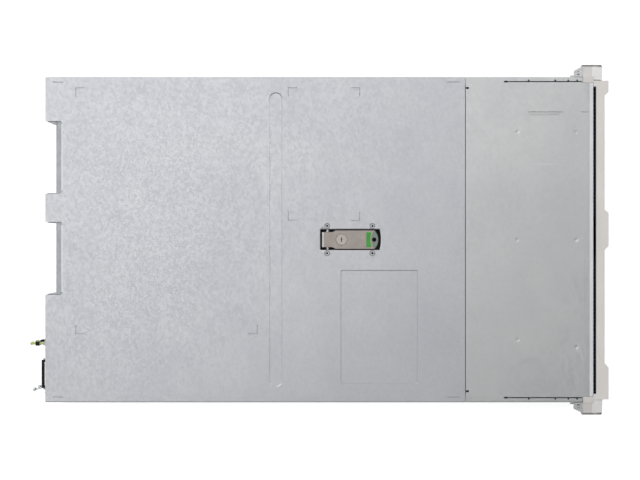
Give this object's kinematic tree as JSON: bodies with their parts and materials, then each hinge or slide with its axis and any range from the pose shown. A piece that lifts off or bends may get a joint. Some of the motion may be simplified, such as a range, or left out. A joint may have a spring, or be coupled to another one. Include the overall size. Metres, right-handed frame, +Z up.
{
  "type": "two-unit rack server",
  "caption": "Rack-mount server with a lift-off cover and latch, pull-out drive carriers, a fan row, processor heatsinks, riser cages and stacked slide-out power supplies.",
  "frame": {"origin": "middle of the chassis pan's underside, half way along the body and half way across", "axes": "+X to the viewer's right when facing the front, +Y from the front to the rear, +Z up"},
  "size_m": [0.4826, 0.8052, 0.087],
  "materials": {
    "cover_steel": "galvanised sheet, satin",
    "pan_steel": "galvanised sheet, satin",
    "cage_steel": "zinc plated sheet, satin",
    "bezel_plastic": "moulded, fine texture",
    "seal_plastic": "moulded black",
    "button_plastic": "moulded, satin",
    "well_plastic": "moulded black",
    "lever_plastic": "moulded taupe, satin",
    "grip_plastic": "moulded green, satin",
    "bright_steel": "turned or drawn, bright",
    "screw_steel": "turned, satin",
    "hook_steel": "stamped, satin",
    "tag_plastic": "moulded grey",
    "blank_plastic": "moulded dark grey",
    "carrier_plastic": "moulded dark grey",
    "ejector_plastic": "moulded grey, satin",
    "drive_metal": "cast and machined",
    "board": "glass-fibre board with solder mask",
    "memory_board": "glass-fibre board with chips",
    "fin_aluminium": "stacked fins, bare",
    "baffle_plastic": "moulded black",
    "fan_plastic": "moulded black",
    "port_shell": "plated steel shells",
    "psu_steel": "plated sheet, satin",
    "handle_plastic": "moulded black",
    "release_plastic": "moulded lime green"
  },
  "bodies": {
    "chassis": {"chassis_pan": "pan_steel", "rear_wall": "pan_steel", "vent_strip": "seal_plastic", "front_top_panel": "cover_steel", "front_bezel": "bezel_plastic", "right_ear": "bezel_plastic", "left_ear": "bezel_plastic", "drive_cage": "cage_steel", "drive_backplane": "board", "bay_blanks": "blank_plastic", "fan_tray": "cage_steel", "fan_housings": "fan_plastic", "motherboard": "board", "memory_modules": "memory_board", "heatsinks": "fin_aluminium", "air_baffle": "baffle_plastic", "riser_cages": "pan_steel", "riser_boards": "board", "slot_covers": "cage_steel", "rear_ports": "port_shell", "psu_cage": "pan_steel"},
    "cover": {"top_cover": "cover_steel", "latch_well": "well_plastic", "latch_pin": "bright_steel", "latch_rivets": "bright_steel"},
    "cover_latch": {"latch_lever": "lever_plastic", "latch_grip": "grip_plastic"},
    "latch_lock": {"latch_lock_screw": "screw_steel"},
    "power_button": {"power_button": "button_plastic"},
    "id_button": {"id_button": "button_plastic"},
    "asset_tag": {"asset_tag": "tag_plastic"},
    "right_slam_latch": {"right_slam_latch": "hook_steel"},
    "left_slam_latch": {"left_slam_latch": "hook_steel"},
    "fan_rotor_1": {"fan_rotor_1": "fan_plastic"},
    "fan_rotor_2": {"fan_rotor_2": "fan_plastic"},
    "fan_rotor_3": {"fan_rotor_3": "fan_plastic"},
    "fan_rotor_4": {"fan_rotor_4": "fan_plastic"},
    "fan_rotor_5": {"fan_rotor_5": "fan_plastic"},
    "fan_rotor_6": {"fan_rotor_6": "fan_plastic"},
    "psu_1": {"psu_1": "psu_steel"},
    "psu_1_handle": {"psu_1_handle": "handle_plastic"},
    "psu_1_release": {"psu_1_release": "release_plastic"},
    "psu_1_cord_clip": {"psu_1_cord_clip": "bright_steel"},
    "psu_2": {"psu_2": "psu_steel"},
    "psu_2_handle": {"psu_2_handle": "handle_plastic"},
    "psu_2_release": {"psu_2_release": "release_plastic"},
    "psu_2_cord_clip": {"psu_2_cord_clip": "bright_steel"},
    "carrier_1": {"drive_tray_1": "carrier_plastic", "drive_1": "drive_metal"},
    "carrier_1_lever": {"drive_lever_1": "ejector_plastic"},
    "carrier_2": {"drive_tray_2": "carrier_plastic", "drive_2": "drive_metal"},
    "carrier_2_lever": {"drive_lever_2": "ejector_plastic"},
    "carrier_3": {"drive_tray_3": "carrier_plastic", "drive_3": "drive_metal"},
    "carrier_3_lever": {"drive_lever_3": "ejector_plastic"},
    "carrier_4": {"drive_tray_4": "carrier_plastic", "drive_4": "drive_metal"},
    "carrier_4_lever": {"drive_lever_4": "ejector_plastic"}
  },
  "joints": [
    {"name": "cover_lift", "type": "slide", "parent": "chassis", "child": "cover", "axis": [0, 0, 1], "range_m": [0, 0.15]},
    {"name": "latch_lever_hinge", "type": "hinge", "parent": "cover", "child": "cover_latch", "pos_m": [0, -0.0112, 0.0815], "axis": [-1, 0, 0], "range_deg": [0, 85]},
    {"name": "latch_lock_turn", "type": "hinge", "parent": "cover_latch", "child": "latch_lock", "pos_m": [0, -0.0304, 0.085], "axis": [0, 0, 1], "range_deg": [0, 90]},
    {"name": "power_button_press", "type": "slide", "parent": "chassis", "child": "power_button", "axis": [0, 1, 0], "range_m": [0, 0.0012], "stiffness_N_per_m": 500},
    {"name": "id_button_press", "type": "slide", "parent": "chassis", "child": "id_button", "axis": [0, 1, 0], "range_m": [0, 0.0012], "stiffness_N_per_m": 400},
    {"name": "asset_tag_pull", "type": "slide", "parent": "chassis", "child": "asset_tag", "axis": [0, -1, 0], "range_m": [0, 0.06]},
    {"name": "right_slam_latch_hinge", "type": "hinge", "parent": "chassis", "child": "right_slam_latch", "pos_m": [0.2354, -0.386, 0.0435], "axis": [0, 0, 1], "range_deg": [0, 12], "stiffness_Nm_per_rad": 0.5},
    {"name": "left_slam_latch_hinge", "type": "hinge", "parent": "chassis", "child": "left_slam_latch", "pos_m": [-0.2354, -0.386, 0.0435], "axis": [0, 0, -1], "range_deg": [0, 12], "stiffness_Nm_per_rad": 0.5},
    {"name": "fan_1_spin", "type": "hinge", "parent": "chassis", "child": "fan_rotor_1", "pos_m": [-0.17, -0.18, 0.04], "axis": [0, 1, 0], "continuous": true},
    {"name": "fan_2_spin", "type": "hinge", "parent": "chassis", "child": "fan_rotor_2", "pos_m": [-0.102, -0.18, 0.04], "axis": [0, 1, 0], "continuous": true},
    {"name": "fan_3_spin", "type": "hinge", "parent": "chassis", "child": "fan_rotor_3", "pos_m": [-0.034, -0.18, 0.04], "axis": [0, 1, 0], "continuous": true},
    {"name": "fan_4_spin", "type": "hinge", "parent": "chassis", "child": "fan_rotor_4", "pos_m": [0.034, -0.18, 0.04], "axis": [0, 1, 0], "continuous": true},
    {"name": "fan_5_spin", "type": "hinge", "parent": "chassis", "child": "fan_rotor_5", "pos_m": [0.102, -0.18, 0.04], "axis": [0, 1, 0], "continuous": true},
    {"name": "fan_6_spin", "type": "hinge", "parent": "chassis", "child": "fan_rotor_6", "pos_m": [0.17, -0.18, 0.04], "axis": [0, 1, 0], "continuous": true},
    {"name": "psu_1_pull", "type": "slide", "parent": "chassis", "child": "psu_1", "axis": [0, 1, 0], "range_m": [0, 0.19]},
    {"name": "psu_1_handle_fold", "type": "hinge", "parent": "psu_1", "child": "psu_1_handle", "pos_m": [-0.1855, 0.3797, 0.03295], "axis": [1, 0, 0], "range_deg": [0, 75]},
    {"name": "psu_1_release_squeeze", "type": "hinge", "parent": "psu_1", "child": "psu_1_release", "pos_m": [-0.144, 0.3797, 0.02195], "axis": [0, 0, 1], "range_deg": [0, 8], "stiffness_Nm_per_rad": 0.2},
    {"name": "psu_1_cord_clip_swing", "type": "hinge", "parent": "psu_1", "child": "psu_1_cord_clip", "pos_m": [-0.2095, 0.3797, 0.02195], "axis": [1, 0, 0], "range_deg": [-45, 60]},
    {"name": "psu_2_pull", "type": "slide", "parent": "chassis", "child": "psu_2", "axis": [0, 1, 0], "range_m": [0, 0.19]},
    {"name": "psu_2_handle_fold", "type": "hinge", "parent": "psu_2", "child": "psu_2_handle", "pos_m": [-0.1855, 0.3797, 0.07375], "axis": [1, 0, 0], "range_deg": [0, 75]},
    {"name": "psu_2_release_squeeze", "type": "hinge", "parent": "psu_2", "child": "psu_2_release", "pos_m": [-0.144, 0.3797, 0.06275], "axis": [0, 0, 1], "range_deg": [0, 8], "stiffness_Nm_per_rad": 0.2},
    {"name": "psu_2_cord_clip_swing", "type": "hinge", "parent": "psu_2", "child": "psu_2_cord_clip", "pos_m": [-0.2095, 0.3797, 0.06275], "axis": [1, 0, 0], "range_deg": [-45, 60]},
    {"name": "carrier_1_pull", "type": "slide", "parent": "chassis", "child": "carrier_1", "axis": [0, -1, 0], "range_m": [0, 0.105]},
    {"name": "carrier_1_lever_hinge", "type": "hinge", "parent": "carrier_1", "child": "carrier_1_lever", "pos_m": [-0.16925, -0.3884, 0.0112], "axis": [1, 0, 0], "range_deg": [0, 50]},
    {"name": "carrier_2_pull", "type": "slide", "parent": "chassis", "child": "carrier_2", "axis": [0, -1, 0], "range_m": [0, 0.105]},
    {"name": "carrier_2_lever_hinge", "type": "hinge", "parent": "carrier_2", "child": "carrier_2_lever", "pos_m": [-0.15335, -0.3884, 0.0112], "axis": [1, 0, 0], "range_deg": [0, 50]},
    {"name": "carrier_3_pull", "type": "slide", "parent": "chassis", "child": "carrier_3", "axis": [0, -1, 0], "range_m": [0, 0.105]},
    {"name": "carrier_3_lever_hinge", "type": "hinge", "parent": "carrier_3", "child": "carrier_3_lever", "pos_m": [-0.13745, -0.3884, 0.0112], "axis": [1, 0, 0], "range_deg": [0, 50]},
    {"name": "carrier_4_pull", "type": "slide", "parent": "chassis", "child": "carrier_4", "axis": [0, -1, 0], "range_m": [0, 0.105]},
    {"name": "carrier_4_lever_hinge", "type": "hinge", "parent": "carrier_4", "child": "carrier_4_lever", "pos_m": [-0.12155, -0.3884, 0.0112], "axis": [1, 0, 0], "range_deg": [0, 50]}
  ]
}
